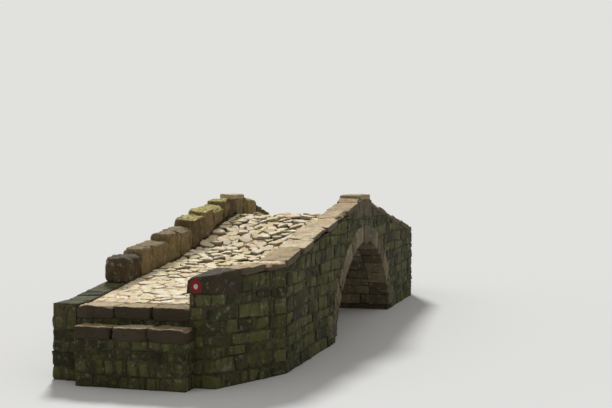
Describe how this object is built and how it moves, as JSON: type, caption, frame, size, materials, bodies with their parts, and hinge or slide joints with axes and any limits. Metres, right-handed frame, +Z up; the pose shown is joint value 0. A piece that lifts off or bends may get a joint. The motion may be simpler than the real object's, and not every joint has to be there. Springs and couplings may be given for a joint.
{
  "type": "packhorse bridge",
  "caption": "Humped stone packhorse bridge with a segmental arch, low parapets with coping slabs, a cobbled roadway and steps at each end.",
  "frame": {"origin": "on the stream bed under the crown of the arch, at the middle of the bridge's outline", "axes": "+X along the bridge to its far end, +Y to the left of someone walking to the far end, +Z up"},
  "size_m": [12.6, 2.89, 2.34],
  "materials": {
    "wall_stone": "rough dark rubble with lichen and moss",
    "arch_stone": "roughly squared stone",
    "coping_stone": "rough slabs, tan to pinkish grey",
    "parapet_stone": "rough brown-grey blocks, mossy on top",
    "cap_stone": "pale slab, worn flat",
    "cobbles": "rounded cream to tan cobbles, worn",
    "step_stone": "worn step stones",
    "fill": "earth and rubble filling"
  },
  "bodies": {
    "root": {"near_abutment": "wall_stone", "far_abutment": "wall_stone", "near_springer": "arch_stone", "far_springer": "arch_stone", "arch_barrel": "arch_stone", "right_arch_ring": "arch_stone", "left_arch_ring": "arch_stone", "right_keystone": "arch_stone", "left_keystone": "arch_stone", "right_near_spandrel": "wall_stone", "right_far_spandrel": "wall_stone", "left_near_spandrel": "wall_stone", "left_far_spandrel": "wall_stone", "near_wing_wall": "wall_stone", "far_wing_wall": "wall_stone", "near_fill": "fill", "far_fill": "fill", "near_paving": "cobbles", "crown_paving": "cobbles", "far_paving": "cobbles", "near_end_wall": "wall_stone", "far_end_wall": "wall_stone", "near_top_step": "step_stone", "far_top_step": "step_stone", "near_lower_step": "step_stone", "far_lower_step": "step_stone", "near_step_base": "wall_stone", "far_step_base": "wall_stone", "right_near_parapet": "wall_stone", "right_far_parapet": "wall_stone", "near_wing_parapet": "wall_stone", "far_wing_parapet": "wall_stone", "right_near_coping": "coping_stone", "right_far_coping": "coping_stone", "near_wing_coping": "coping_stone", "far_wing_coping": "coping_stone", "near_end_stone": "parapet_stone", "far_end_stone": "parapet_stone", "left_near_parapet": "parapet_stone", "left_far_parapet": "parapet_stone", "right_crest_block": "wall_stone", "left_crest_block": "wall_stone", "right_crest_cap": "cap_stone", "left_crest_cap": "cap_stone"}
  },
  "joints": []
}
